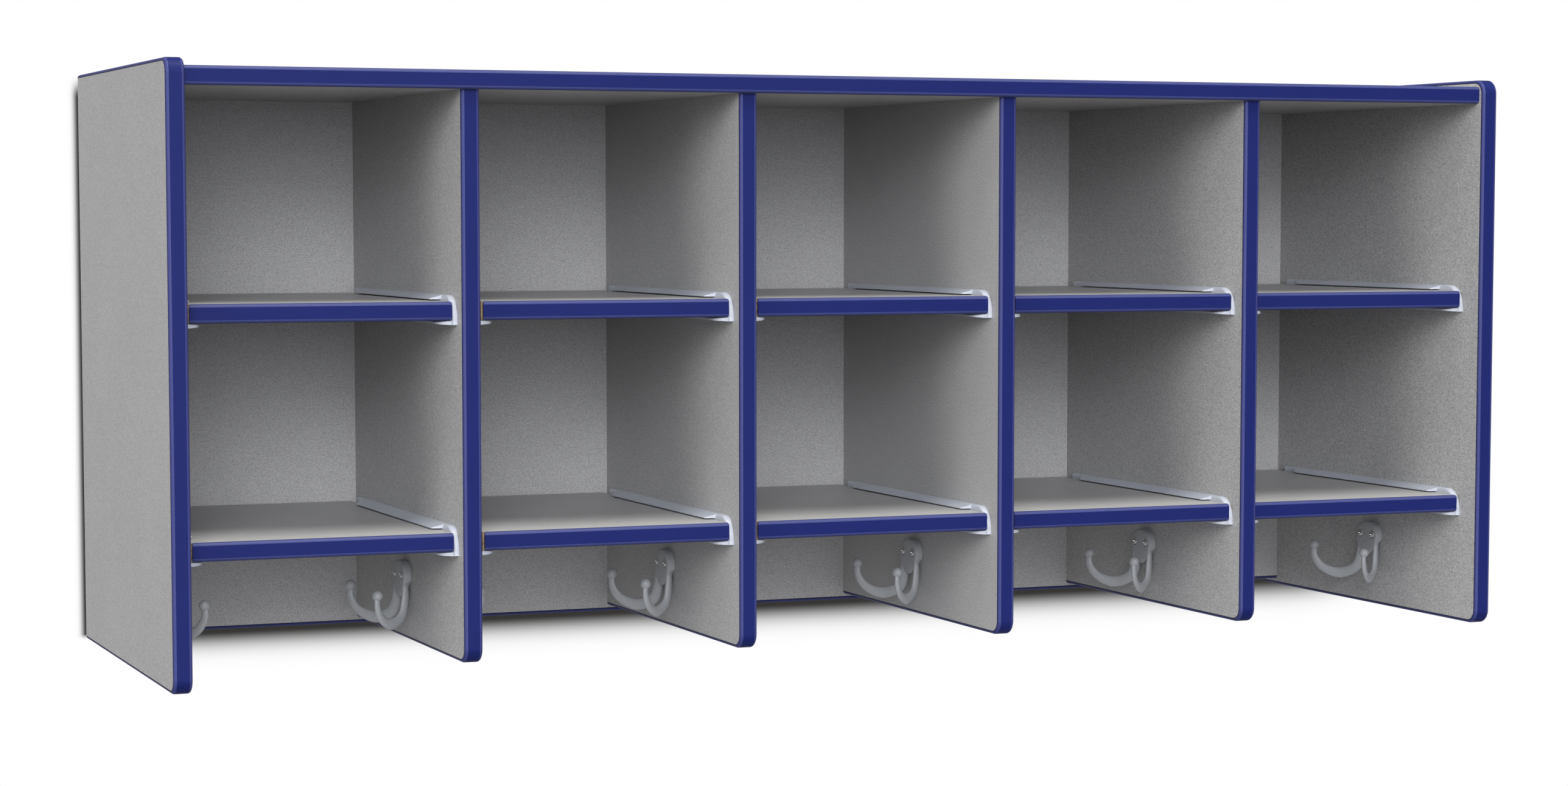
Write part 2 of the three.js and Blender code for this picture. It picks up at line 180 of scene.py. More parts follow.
class Graph:
    """Puts nodes in a tree. Inputs are given by name, each as a value or as the output that
    feeds it."""

    def __init__(self, tree):
        self.tree = tree
        self.count = 0

    def add(self, kind, settings=(), **inputs):
        node = self.tree.nodes.new(kind)
        row, column = divmod(self.count, NODES_IN_A_ROW)
        node.location = (NODE_STEP_X * column, NODE_STEP_Y * row)
        self.count += 1
        for key, value in dict(settings).items():
            setattr(node, key, value)
        for key, value in inputs.items():
            self.feed(node.inputs[key.replace("_", " ")], value)
        return node

    def feed(self, socket, value):
        if isinstance(value, bpy.types.NodeSocket):
            self.tree.links.new(value, socket)
        else:
            socket.default_value = value

    def maths(self, operation, *values, clamp=False):
        node = self.add("ShaderNodeMath", {"operation": operation, "use_clamp": clamp})
        for socket, value in zip(node.inputs, values):
            self.feed(socket, value)
        return node.outputs[0]

    def times(self, a, b, clamp=False):
        return self.maths("MULTIPLY", a, b, clamp=clamp)

    def less(self, a, b):
        return self.maths("SUBTRACT", a, b)

    def spread(self, value, low, high, to_low=0.0, to_high=1.0, smooth=False):
        """The value's place between low and high, from to_low to to_high and no further."""
        kind = "SMOOTHSTEP" if smooth else "LINEAR"
        node = self.add("ShaderNodeMapRange", {"interpolation_type": kind})
        for key, given in zip(
            ("Value", "From Min", "From Max", "To Min", "To Max"),
            (value, low, high, to_low, to_high),
        ):
            self.feed(node.inputs[key], given)
        return node.outputs[0]

    def mix(self, share, a, b, blend="MIX"):
        node = self.add("ShaderNodeMix", {"data_type": "RGBA", "blend_type": blend})
        for i, given in ((0, share), (6, a), (7, b)):
            self.feed(node.inputs[i], given)
        return node.outputs[2]

    def noise(self, place, scale, detail=2.0, roughness=0.5):
        return self.add(
            "ShaderNodeTexNoise", Vector=place, Scale=scale, Detail=detail, Roughness=roughness
        ).outputs["Fac"]

    def place(self, kind="Object"):
        return self.add("ShaderNodeTexCoord").outputs[kind]


def shader_group(name, inputs, outputs):
    """A new group's graph, what is given to it, and what it puts out."""
    tree = bpy.data.node_groups.new(name, "ShaderNodeTree")
    for label, kind, value in inputs:
        tree.interface.new_socket(
            label, in_out="INPUT", socket_type=kind
        ).default_value = value
    for label, kind in outputs:
        tree.interface.new_socket(label, in_out="OUTPUT", socket_type=kind)
    graph = Graph(tree)
    given = graph.add("NodeGroupInput").outputs
    end = graph.add("NodeGroupOutput")
    return graph, given, end.inputs


def laminate_speckle():
    """Printed laminate: a close salt-and-pepper grain over an even ground."""
    graph, given, made = shader_group(
        "laminate_speckle",
        [
            ("Ground", COLOUR, (0.4, 0.4, 0.4, 1)),
            ("Pale Grain", COLOUR, (0.5, 0.5, 0.5, 1)),
            ("Dark Grain", COLOUR, (0.3, 0.3, 0.3, 1)),
            ("Contrast", NUMBER, 1.0),
        ],
        [("Colour", COLOUR), ("Roughness", NUMBER), ("Height", NUMBER)],
    )
    place = graph.place()
    grain = graph.noise(place, scale=1080.0, detail=1.0, roughness=0.5)
    clots = graph.noise(place, scale=420.0, detail=1.0)
    cloud = graph.noise(place, scale=14.0, detail=3.0)
    pale = graph.times(graph.spread(grain, 0.5, 0.74), graph.spread(clots, 0.3, 0.7, 0.6, 1.3))
    dark = graph.times(graph.spread(grain, 0.5, 0.26), graph.spread(clots, 0.7, 0.3, 0.6, 1.3))
    pale = graph.times(pale, given["Contrast"], clamp=True)
    dark = graph.times(dark, given["Contrast"], clamp=True)
    shade = graph.mix(pale, given["Ground"], given["Pale Grain"])
    shade = graph.mix(dark, shade, given["Dark Grain"])
    even = graph.spread(cloud, 0.3, 0.7, 0.98, 1.02)
    tint = graph.add("ShaderNodeCombineColor", Red=even, Green=even, Blue=even).outputs[0]
    graph.feed(made["Colour"], graph.mix(1.0, shade, tint, "MULTIPLY"))
    graph.feed(made["Roughness"], graph.spread(grain, 0.3, 0.7, 0.4, 0.5))
    graph.feed(made["Height"], grain)
    return graph.tree


def laminated_faces():
    """1 on the two large faces of a board and 0 on its sawn edges. Across is the board's thin
    direction."""
    graph, given, made = shader_group(
        "laminated_faces", [("Across", VECTOR, (0, 0, 1))], [("Face", NUMBER)]
    )
    facing = graph.add("ShaderNodeVectorMath", {"operation": "DOT_PRODUCT"})
    graph.feed(facing.inputs[0], graph.place("Normal"))
    graph.feed(facing.inputs[1], given["Across"])
    size = graph.maths("ABSOLUTE", facing.outputs["Value"])
    graph.feed(made["Face"], graph.spread(size, 0.6, 0.8))
    return graph.tree


def sawn_chipboard():
    """Wood chips of several browns pressed in a dark binder, as a saw leaves them."""
    graph, given, made = shader_group(
        "sawn_chipboard",
        [
            ("Pale Chip", COLOUR, (0.5, 0.4, 0.3, 1)),
            ("Dark Chip", COLOUR, (0.2, 0.15, 0.1, 1)),
            ("Binder", COLOUR, (0.1, 0.07, 0.05, 1)),
        ],
        [("Colour", COLOUR), ("Height", NUMBER)],
    )
    place = graph.place()
    chips = graph.add("ShaderNodeTexVoronoi", Vector=place, Scale=520.0, Randomness=1.0)
    kind = graph.add("ShaderNodeSeparateColor", Color=chips.outputs["Color"]).outputs[0]
    fibre = graph.noise(place, scale=1500.0, detail=3.0, roughness=0.7)
    shade = graph.mix(kind, given["Dark Chip"], given["Pale Chip"])
    gap = graph.spread(chips.outputs["Distance"], 0.45, 0.75, smooth=True)
    shade = graph.mix(gap, shade, given["Binder"])
    shade = graph.mix(graph.spread(fibre, 0.45, 0.8, 0.0, 0.5), shade, given["Binder"])
    graph.feed(made["Colour"], shade)
    graph.feed(made["Height"], graph.less(fibre, graph.times(gap, 0.6)))
    return graph.tree


def trimmed_edge_and_sheen():
    """What the trimming cutter leaves on an edge band, with a painted highlight and painted shade:
    a crisp line where each rounding starts, streaky scrape patches along it that are painted paler
    toward the flat face as a highlight, and a dark line along its rim. It reads the map named
    run: across the band from 0 to 1, and along it in metres. Low Side is how much of it shows on
    the half of the band next to 0; below 1 it paints that half darker, as shade where it faces
    down."""
    graph, given, made = shader_group(
        "trimmed_edge_and_sheen",
        [("Rounding", NUMBER, 0.18), ("Streaks", NUMBER, 1.0), ("Low Side", NUMBER, 1.0)],
        [("Rounded", NUMBER), ("Scraped And Sheen", NUMBER), ("Dark Rim", NUMBER), ("Height", NUMBER)],
    )
    place = graph.add("ShaderNodeUVMap", {"uv_map": "run"}).outputs[0]
    parts = graph.add("ShaderNodeSeparateXYZ", Vector=place)
    across, along = parts.outputs[0], parts.outputs[1]
    inward = graph.maths("MINIMUM", across, graph.less(1.0, across))
    share = graph.maths("DIVIDE", inward, given["Rounding"])
    # Below 1, Low Side paints the half next to 0 darker: painted shade on a rounding that faces
    # down.
    side = graph.spread(across, 0.49, 0.51, given["Low Side"], 1.0)
    rounded = graph.times(graph.spread(share, 1.0, 0.92), side)
    streak_place = graph.add(
        "ShaderNodeCombineXYZ", X=graph.times(across, 9.0), Y=graph.times(along, 150.0)
    ).outputs[0]
    streaks = graph.noise(streak_place, scale=1.0, detail=4.0, roughness=0.6)
    # Paler toward the flat face and dimmer by the rim: a painted highlight where the rounding
    # turns to the lights. The streaks are scrape marks.
    inner = graph.spread(share, 0.1, 0.55, 0.3, 1.0)
    marks = graph.times(inner, graph.spread(streaks, 0.3, 0.7, 0.65, 1.2))
    marks = graph.times(marks, given["Streaks"])
    graph.feed(made["Rounded"], rounded)
    graph.feed(made["Scraped And Sheen"], graph.times(marks, rounded, clamp=True))
    graph.feed(made["Dark Rim"], graph.spread(share, 0.07, 0.02))
    graph.feed(made["Height"], graph.times(streaks, rounded))
    return graph.tree


def moulded_skin():
    """Finely pitted surface of a moulded plastic part, with the faint cloudiness of its flow."""
    graph, given, made = shader_group(
        "moulded_skin",
        [
            ("Plastic", COLOUR, (0.5, 0.5, 0.5, 1)),
            ("Flow Tint", COLOUR, (0.4, 0.4, 0.4, 1)),
            ("Flow", NUMBER, 0.3),
            ("Gloss", NUMBER, 0.4),
        ],
        [("Colour", COLOUR), ("Roughness", NUMBER), ("Height", NUMBER)],
    )
    place = graph.place()
    stretched = graph.add(
        "ShaderNodeMapping", {"vector_type": "POINT"}, Vector=place, Scale=(1.0, 1.0, 0.35)
    ).outputs[0]
    flow = graph.noise(stretched, scale=90.0, detail=3.0, roughness=0.6)
    skin = graph.noise(place, scale=2600.0, detail=2.0, roughness=0.6)
    share = graph.times(graph.spread(flow, 0.4, 0.75), given["Flow"])
    graph.feed(made["Colour"], graph.mix(share, given["Plastic"], given["Flow Tint"]))
    rough = graph.maths("ADD", given["Gloss"], graph.spread(skin, 0.3, 0.7, -0.05, 0.07))
    graph.feed(made["Roughness"], rough)
    graph.feed(made["Height"], skin)
    return graph.tree


def rubbed_edges():
    """1 where a sharp outer edge has been rubbed, in broken patches."""
    graph, given, made = shader_group(
        "rubbed_edges", [("Amount", NUMBER, 0.5)], [("Rubbed", NUMBER)]
    )
    sharp = graph.add("ShaderNodeNewGeometry").outputs["Pointiness"]
    patches = graph.noise(graph.place(), scale=240.0, detail=3.0, roughness=0.6)
    edge = graph.spread(sharp, 0.52, 0.62)
    rubbed = graph.times(edge, graph.spread(patches, 0.35, 0.65))
    graph.feed(made["Rubbed"], graph.times(rubbed, given["Amount"], clamp=True))
    return graph.tree


LAMINATE = laminate_speckle()
FACES = laminated_faces()
CHIPBOARD = sawn_chipboard()
TRIMMED_AND_SHEEN = trimmed_edge_and_sheen()
MOULDED = moulded_skin()
RUBBED = rubbed_edges()


def new_material(name):
    material = bpy.data.materials.new(name)
    material.use_nodes = True
    material.node_tree.nodes.clear()
    graph = Graph(material.node_tree)
    return material, graph


def use(graph, group, **inputs):
    return graph.add("ShaderNodeGroup", {"node_tree": group}, **inputs).outputs


def bump(graph, height, strength, distance):
    return graph.add(
        "ShaderNodeBump", Height=height, Strength=strength, Distance=distance
    ).outputs[0]


def finish_with(graph, **inputs):
    shader = graph.add("ShaderNodeBsdfPrincipled", **inputs)
    graph.add("ShaderNodeOutputMaterial", Surface=shader.outputs[0])


def board_material(name, across, contrast):
    """Grey laminate on the faces and bare chipboard on the sawn edges."""
    material, graph = new_material(name)
    face = use(graph, FACES, Across=across)["Face"]
    laminate = use(
        graph,
        LAMINATE,
        Ground=srgb(166, 166, 165),
        Pale_Grain=srgb(197, 197, 196),
        Dark_Grain=srgb(122, 122, 122),
        Contrast=contrast,
    )
    core = use(
        graph,
        CHIPBOARD,
        Pale_Chip=srgb(168, 146, 110),
        Dark_Chip=srgb(140, 119, 86),
        Binder=srgb(108, 91, 64),
    )
    height = graph.mix(face, core["Height"], laminate["Height"])
    finish_with(
        graph,
        Base_Color=graph.mix(face, core["Colour"], laminate["Colour"]),
        Roughness=graph.spread(face, 0.0, 1.0, 0.9, laminate["Roughness"]),
        Normal=bump(graph, height, strength=0.12, distance=0.2 * MM),
    )
    return material


def band_material(name, low_side, rounded, scraped_and_sheen):
    """Blue edge band, matt and even on its face, paler on its roundings, partly as a painted
    highlight.
    """
    material, graph = new_material(name)
    marks = use(graph, TRIMMED_AND_SHEEN, Rounding=0.175, Streaks=0.85, Low_Side=low_side)
    tint = graph.noise(graph.place(), scale=30.0, detail=2.0)
    ground = graph.mix(graph.spread(tint, 0.3, 0.7), srgb(21, 30, 87), srgb(22, 31, 89))
    ground = graph.mix(marks["Rounded"], ground, rounded)
    ground = graph.mix(marks["Scraped And Sheen"], ground, scraped_and_sheen)
    finish_with(
        graph,
        Base_Color=graph.mix(marks["Dark Rim"], ground, srgb(26, 30, 62)),
        Roughness=graph.spread(marks["Scraped And Sheen"], 0.0, 1.0, 0.5, 0.6),
        Specular_IOR_Level=0.12,
        Coat_Weight=graph.times(marks["Rounded"], 0.25),
        Coat_Roughness=0.45,
        Normal=bump(graph, marks["Height"], strength=0.1, distance=0.2 * MM),
    )
    return material


def plastic_material(name, plastic, flow_tint, flow, gloss, rubbed_colour):
    """Moulded plastic, a little paler on its rubbed edges."""
    material, graph = new_material(name)
    skin = use(graph, MOULDED, Plastic=plastic, Flow_Tint=flow_tint, Flow=flow, Gloss=gloss)
    rubbed = use(graph, RUBBED, Amount=0.25)["Rubbed"]
    finish_with(
        graph,
        Base_Color=graph.mix(rubbed, skin["Colour"], rubbed_colour),
        Roughness=skin["Roughness"],
        Normal=bump(graph, skin["Height"], strength=0.06, distance=0.1 * MM),
    )
    return material


def screw_material():
    """Bright plated steel with turning marks and duller patches."""
    material, graph = new_material("screw_steel")
    place = graph.place()
    radius = graph.add(
        "ShaderNodeVectorMath", {"operation": "LENGTH"}, Vector=place
    ).outputs["Value"]
    rings = graph.add(
        "ShaderNodeTexNoise", {"noise_dimensions": "1D"}, W=radius, Scale=9000.0, Detail=2.0
    ).outputs["Fac"]
    patches = graph.noise(place, scale=500.0, detail=3.0, roughness=0.6)
    dull = graph.spread(patches, 0.35, 0.7)
    finish_with(
        graph,
        Base_Color=graph.mix(dull, srgb(240, 240, 237), srgb(184, 184, 181)),
        Roughness=graph.spread(rings, 0.3, 0.7, 0.14, 0.3),
        Metallic=1.0,
        Normal=bump(graph, rings, strength=0.1, distance=0.1 * MM),
    )
    return material


UPRIGHT = board_material("laminate_upright", across=(1, 0, 0), contrast=0.95)
LEVEL = board_material("laminate_level", across=(0, 0, 1), contrast=0.9)
BACKING = board_material("laminate_back", across=(0, 1, 0), contrast=0.75)
# Roundings painted paler than the face, partly as a painted highlight.
BLUE = band_material(
    "blue_edge_band", low_side=1.0, rounded=srgb(42, 47, 100), scraped_and_sheen=srgb(55, 60, 112)
)
# The level copy, on the top and the shelves, is painted paler on its upper rounding and, with Low
# Side 0.7, darker on its low one: painted highlight and painted shade from the light above.
LEVEL_BLUE = band_material(
    "blue_level_band", low_side=0.7, rounded=srgb(48, 54, 103), scraped_and_sheen=srgb(61, 67, 113)
)
RAIL_PLASTIC = plastic_material(
    "rail_plastic",
    plastic=srgb(178, 183, 192),
    flow_tint=srgb(169, 173, 182),
    flow=0.4,
    gloss=0.36,
    rubbed_colour=srgb(192, 196, 205),
)
HOOK_PLASTIC = plastic_material(
    "hook_plastic",
    plastic=srgb(162, 165, 167),
    flow_tint=srgb(151, 154, 156),
    flow=0.5,
    gloss=0.4,
    rubbed_colour=srgb(170, 173, 177),
)
STEEL = screw_material()


# Meshes and pieces
def linked(name, data):
    made = bpy.data.objects.new(name, data)
    bpy.context.scene.collection.objects.link(made)
    return made


def piece_from(name, mesh, material, body, nodes=(), place=(0, 0, 0)):
    piece = linked(name, mesh)
    piece.location = place
    if not mesh.materials:
        mesh.materials.append(material)
    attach(piece, body)
    if nodes:
        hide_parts(*nodes)
    return piece


def smoothed(mesh, sharp):
    """Smooth shading, apart from edges that turn by more than sharp, in degrees."""
    mesh.shade_smooth()
    mesh.set_sharp_from_angle(angle=math.radians(sharp))
    return mesh


def mesh_from(name, bm, sharp=35):
    bmesh.ops.recalc_face_normals(bm, faces=bm.faces)
    mesh = bpy.data.meshes.new(name)
    bm.to_mesh(mesh)
    bm.free()
    return smoothed(mesh, sharp)


def bmesh_of(mesh):
    bm = bmesh.new()
    bm.from_mesh(mesh)
    return bm


def even_normals(piece):
    """Large flat faces keep their own normal beside a rounding."""
    weigh = piece.modifiers.new("even_normals", "WEIGHTED_NORMAL")
    weigh.keep_sharp = True
    weigh.weight = 90


def turns(steps, start=0.0):
    """A quarter turn in equal steps."""
    return [start + i / steps * QUARTER for i in range(steps + 1)]


def quarter(steps, place):
    return [place(math.sin(turn), math.cos(turn)) for turn in turns(steps)]


def loft(rings, across=None, along=None):
    """A closed body through rings of equal count. across and along give the map named run."""
    bm = bmesh.new()
    rows = [[bm.verts.new(p) for p in ring] for ring in rings]
    run = bm.loops.layers.uv.new("run")
    count = len(rings[0])
    across_cap = across or [0.5] * count
    along = along or range(len(rows))

    def face(corners, marks):
        made = bm.faces.new(corners)
        for loop, mark in zip(made.loops, marks):
            loop[run].uv = mark

    for r in range(len(rows) - 1):
        for k in range(count):
            n = (k + 1) % count
            u = (across[k], across[n]) if across else (k / count, (k + 1) / count)
            v = (along[r], along[r + 1])
            face(
                (rows[r][k], rows[r][n], rows[r + 1][n], rows[r + 1][k]),
                ((u[0], v[0]), (u[1], v[0]), (u[1], v[1]), (u[0], v[1])),
            )
    for r in (0, len(rows) - 1):
        face(rows[r], [(share, along[r]) for share in across_cap])
    return bm


def band_section():
    """Pairs of place across the board and depth under the band's face."""
    roundings = [
        (centre + BAND_ROUND * math.cos(turn), BAND_ROUND * (1 - math.sin(turn)))
        for centre, start in ((BOARD - BAND_ROUND, 0), (BAND_ROUND, QUARTER))
        for turn in turns(ROUND_STEPS, start)
    ]
    return [(0, BAND), (BOARD, BAND), *roundings]


SECTION = band_section()
SECTION_ACROSS = [across / BOARD for across, _ in SECTION]


def band_along(name, path, left):
    """Edge band bent round a board that stands in depth and height. path holds points with
    their outward normals."""
    rings = [
        [Vector((left + across, y - ny * depth, z - nz * depth)) for across, depth in SECTION]
        for (y, z), (ny, nz) in path
    ]
    along = [0.0]
    for (a, _), (b, _) in zip(path, path[1:]):
        along.append(along[-1] + math.dist(a, b))
    return mesh_from(name, loft(rings, SECTION_ACROSS, along))


def corner(y, z, start):
    """A board's rounded corner about a centre, as points with their outward normals."""
    points = []
    for turn in turns(CORNER_STEPS, start):
        ny, nz = math.cos(turn), math.sin(turn)
        points.append(((y + ny * CORNER_RADIUS, z + nz * CORNER_RADIUS), (ny, nz)))
    return points


def front_strip(name, low, high, end_round):
    """Edge band across the front of a level board, rounded off toward both ends."""

    def ring(inward, end, turn):
        shrink = end_round * (1 - math.cos(turn))
        x = end + inward * (end_round * (1 - math.sin(turn)))
        return [
            Vector((x, low.y + depth, low.z + min(max(across, shrink), BOARD - shrink)))
            for across, depth in SECTION
        ]

    left = [ring(1, low.x, turn) for turn in turns(END_STEPS)]
    right = [ring(-1, high.x, turn) for turn in turns(END_STEPS)]
    rings = [*reversed(left), *right]
    return mesh_from(name, loft(rings, SECTION_ACROSS, [points[0].x for points in rings]))


def block(name, low, high):
    """A board's block with finely bevelled edges."""
    bm = bmesh.new()
    bmesh.ops.create_cube(bm, size=1)
    size = high - low
    for v in bm.verts:
        v.co = Vector(low[i] + (v.co[i] + 0.5) * size[i] for i in range(3))
    bmesh.ops.bevel(
        bm, geom=bm.edges, offset=FINE_BEVEL, segments=2, profile=0.5, affect="EDGES"
    )
    return mesh_from(name, bm)


def prism(outline, place):
    """A closed body between two copies of a flat outline. place gives a point from a pair and
    0 or 1."""
    bm = bmesh.new()
    sides = [[bm.verts.new(place(a, b, side)) for a, b in outline] for side in (0, 1)]
    bm.faces.new(sides[0])
    bm.faces.new(list(reversed(sides[1])))
    count = len(outline)
    for k in range(count):
        n = (k + 1) % count
        bm.faces.new((sides[0][n], sides[0][k], sides[1][k], sides[1][n]))
    return bm


def turned(profile, y=0.0, z=0.0):
    """A body turned about X through y and z. profile holds pairs of place along X and radius."""
    angles = [2 * math.pi * k / TURNED_SIDES for k in range(TURNED_SIDES)]
    rings = [
        [Vector((x, y + r * math.cos(a), z + r * math.sin(a))) for a in angles]
        for x, r in profile
    ]
    return loft(rings)


def joined(name, bodies, cuts=()):
    """One closed mesh from bodies that run into each other, less the cuts."""

    def temporary(bm, label):
        bmesh.ops.recalc_face_normals(bm, faces=bm.faces)
        mesh = bpy.data.meshes.new(label)
        bm.to_mesh(mesh)
        bm.free()
        return linked(label, mesh)

    base = temporary(bodies[0], name)
    others = [(temporary(bm, name + "_part"), "UNION") for bm in bodies[1:]]
    others += [(temporary(bm, name + "_cut"), "DIFFERENCE") for bm in cuts]
    for other, operation in others:
        step = base.modifiers.new("join", "BOOLEAN")
        step.operation, step.solver, step.object = operation, "EXACT", other
    seen = bpy.context.evaluated_depsgraph_get()
    mesh = bpy.data.meshes.new_from_object(base.evaluated_get(seen))
    mesh.name = name
    for used in [base, *(other for other, _ in others)]:
        bpy.data.objects.remove(used)
    return mesh


def modified(mesh, *steps):
    """The mesh after modifiers, each given as its kind and settings."""
    carrier = linked("carrier", mesh)
    for kind, settings in steps:
        step = carrier.modifiers.new(kind, kind)
        for key, value in settings.items():
            setattr(step, key, value)
    seen = bpy.context.evaluated_depsgraph_get()
    made = bpy.data.meshes.new_from_object(carrier.evaluated_get(seen))
    made.name = mesh.name
    bpy.data.objects.remove(carrier)
    return made


def mirrored(mesh, name):
    made = mesh.copy()
    made.name = name
    made.transform(Matrix.Diagonal((-1, 1, 1, 1)))
    made.flip_normals()
    return made


# Boards keep their solids and get the laminate
for node, material in (
    ("end_left", UPRIGHT),
    ("end_right", UPRIGHT),
    ("top_board", LEVEL),
    ("back_board", BACKING),
    *((f"partition_{i}", UPRIGHT) for i in range(1, BAYS)),
):
    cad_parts[node].material_slots[0].material = material


# Edge bands
def band_piece(name, mesh, material, body, node):
    even_normals(piece_from(name, mesh, material, body, [node]))


end_path = [
    ((WALL_FACE, HEAD), (0, 1)),
    *corner(FRONT + CORNER_RADIUS, HEAD - CORNER_RADIUS, QUARTER),
    *corner(FRONT + CORNER_RADIUS, FOOT + CORNER_RADIUS, math.pi),
    ((WALL_FACE, FOOT), (0, -1)),
]
for side, i in (("left", 0), ("right", BAYS)):
    node = f"band_end_{side}"
    mesh = band_along(node, end_path, UNIT_LOW.x + i * PITCH)
    band_piece(f"trim_end_{side}", mesh, BLUE, "carcass", node)

for i in range(1, BAYS):
    node = f"band_partition_{i}"
    low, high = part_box(node)
    path = [
        ((low.y, high.z), (-1, 0)),
        *corner(low.y + CORNER_RADIUS, low.z + CORNER_RADIUS, math.pi),
        ((high.y, low.z), (0, -1)),
    ]
    mesh = band_along(node, path, low.x)
    band_piece(f"trim_partition_{i}", mesh, BLUE, "carcass", node)

low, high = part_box("band_top")
mesh = front_strip("band_top", low, high, STRIP_END_ROUND)
band_piece("trim_top", mesh, LEVEL_BLUE, "carcass", "band_top")

low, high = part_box("band_back")
ends = [low.x, high.x]
rings = [[Vector((x, low.y + across, low.z + depth)) for across, depth in SECTION] for x in ends]
mesh = mesh_from("band_back", loft(rings, SECTION_ACROSS, ends))
band_piece("trim_back", mesh, BLUE, "carcass", "band_back")

# Shelves: a board, and the band on its front, which stops short of the board's left end
for level in ("upper", "lower"):
    for bay in range(1, BAYS + 1):
        node = f"shelf_{level}_{bay}"
        low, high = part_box(node)
        mesh = block(node, Vector((low.x, low.y + BAND, low.z)), high)
        name = f"board_{level}_{bay}"
        even_normals(piece_from(name, mesh, LEVEL, node, [node]))
        low.x += BAND_SHORT
        name = f"trim_{level}_{bay}"
        mesh = front_strip(name, low, high, SHELF_END_ROUND)
        band_piece(name, mesh, LEVEL_BLUE, node, node)


# Rails, drawn from the board's face toward the bay, from the nose to the rear, and from the
# shelf's underside up
def rail_web(length, foot, head):
    """The upright part, its inner edge rounded off at the front and along the top. Its outline
    holds points with their outward normals and how far the edge is rounded there."""
    outline = [(length, foot, 0, -1, RAIL_FOOT_ROUND), (length, head, 0, 1, HEAD_ROUND)]
    for turn in turns(NOSE_STEPS):
        ny, nz = math.sin(turn) * NOSE_HEIGHT, math.cos(turn) * NOSE_LENGTH
        size = math.hypot(ny, nz)
        outline.append(
            (
                NOSE_LENGTH * (1 - math.sin(turn)),
                head - NOSE_HEIGHT * (1 - math.cos(turn)),
                -ny / size,
                nz / size,
                HEAD_ROUND + (NOSE_ROUND - HEAD_ROUND) * math.sin(turn),
            )
        )
    outline.append((0, foot, -1, 0, NOSE_ROUND))

    def ring(turn):
        out, inward = 1 - math.sin(turn), 1 - math.cos(turn)
        return [
            Vector((RAIL_WEB - size * out, y - ny * size * inward, z - nz * size * inward))
            for y, z, ny, nz, size in outline
        ]

    root = [Vector((0, y, z)) for y, z, *_ in outline]
    return loft([root, *(ring(turn) for turn in turns(ROUND_STEPS))])


def rail_mesh(length):
    head = BOARD + RAIL_OVER
    foot = -SLIDE_GAP - LOWER_ROOT
    under = BOARD + UPPER_GAP
    lower_inner, upper_inner = RAIL_WEB - FLANGE_SINK, RAIL_WEB - HEAD_ROUND
    slope = (REAR_TIP - REAR_ROOT) / (RAIL_REACH - RAIL_WEB)

    def rear(reach, start):
        end = length - REAR_ROOT - slope * (reach - RAIL_WEB)
        return [(reach, end), (RAIL_WEB, length - REAR_ROOT), (start, length - REAR_ROOT)]

    def wedge(x, y, side):
        share = (x - upper_inner) / (UPPER_REACH - upper_inner)
        top = head - WEDGE_SINK - share * (head - WEDGE_SINK - under - UPPER_EDGE)
        return Vector((x, y, top if side == 0 else under))

    def sole(x, y, side):
        share = (x - lower_inner) / (RAIL_REACH - lower_inner)
        top = -SLIDE_GAP - share * LOWER_FALL
        return Vector((x, y, top - side * (LOWER_ROOT + (LOWER_EDGE - LOWER_ROOT) * share)))

    tongue = quarter(
        TONGUE_STEPS,
        lambda across, along: (
            RAIL_WEB + (UPPER_REACH - RAIL_WEB) * across,
            TONGUE_TIP - (TONGUE_TIP - TONGUE_ROOT) * along,
        ),
    )
    lip = quarter(
        TONGUE_STEPS,
        lambda across, along: (
            RAIL_WEB + (RAIL_REACH - RAIL_WEB) * along,
            LOWER_TIP * (1 - across),
        ),
    )
    upper = [*tongue, *rear(UPPER_REACH, upper_inner), (upper_inner, TONGUE_ROOT)]
    lower = [*reversed(lip), *rear(RAIL_REACH, lower_inner), (lower_inner, 0)]
    mesh = joined("rail", [rail_web(length, foot, head), prism(upper, wedge), prism(lower, sole)])
    bevel = {
        "width": FINE_BEVEL,
        "segments": 2,
        "limit_method": "ANGLE",
        "angle_limit": math.radians(40),
    }
    mesh = modified(mesh, ("BEVEL", bevel), ("WELD", {"merge_threshold": 0.002 * MM}))
    return smoothed(mesh, sharp=40)


low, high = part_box("rail_upper_1_left")
rail_of = {"left": rail_mesh(high.y - low.y)}
rail_of["right"] = mirrored(rail_of["left"], "rail_right")
for level in ("upper", "lower"):
    for bay in range(1, BAYS + 1):
        for side in ("left", "right"):
            node = f"rail_{level}_{bay}_{side}"
            name = f"channel_{level}_{bay}_{side}"
            low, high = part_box(node)
            face = low.x if side == "left" else high.x
            place = (face, low.y, low.z + LOWER_ROOT + SLIDE_GAP)
            even_normals(
                piece_from(
                    name, rail_of[side], RAIL_PLASTIC, "carcass", [node], place
                )
            )


# Double hooks, drawn on a board's face: X off the board, Y along it, Z up from the plate's middle.
# The outlines are shares of the plate's half width and of its rise or fall
PLATE_UPPER = [
    (0, 1), (0.2, 0.985), (0.4, 0.94), (0.58, 0.85), (0.74, 0.71), (0.86, 0.54), (0.95, 0.32),
    (0.99, 0.1), (1, -0.08),
]
PLATE_FOOT = [
    *PLATE_UPPER,
    (0.97, -0.22), (0.83, -0.33), (0.66, -0.42), (0.55, -0.54), (0.45, -0.66), (0.32, -0.8),
    (0.2, -0.9), (0, -1),
]
PLATE_FACE = [
    *PLATE_UPPER,
    (0.97, -0.34), (0.9, -0.48), (0.8, -0.61), (0.66, -0.73), (0.5, -0.84), (0.36, -0.92),
    (0.22, -0.97), (0, -1),
]
# Share of the way from the plate's rim to its crown, with the face's share of its full size
DOME = [(0, 1), (0.28, 0.985), (0.5, 0.96), (0.7, 0.9), (0.85, 0.82), (0.95, 0.65), (1, 0.45)]
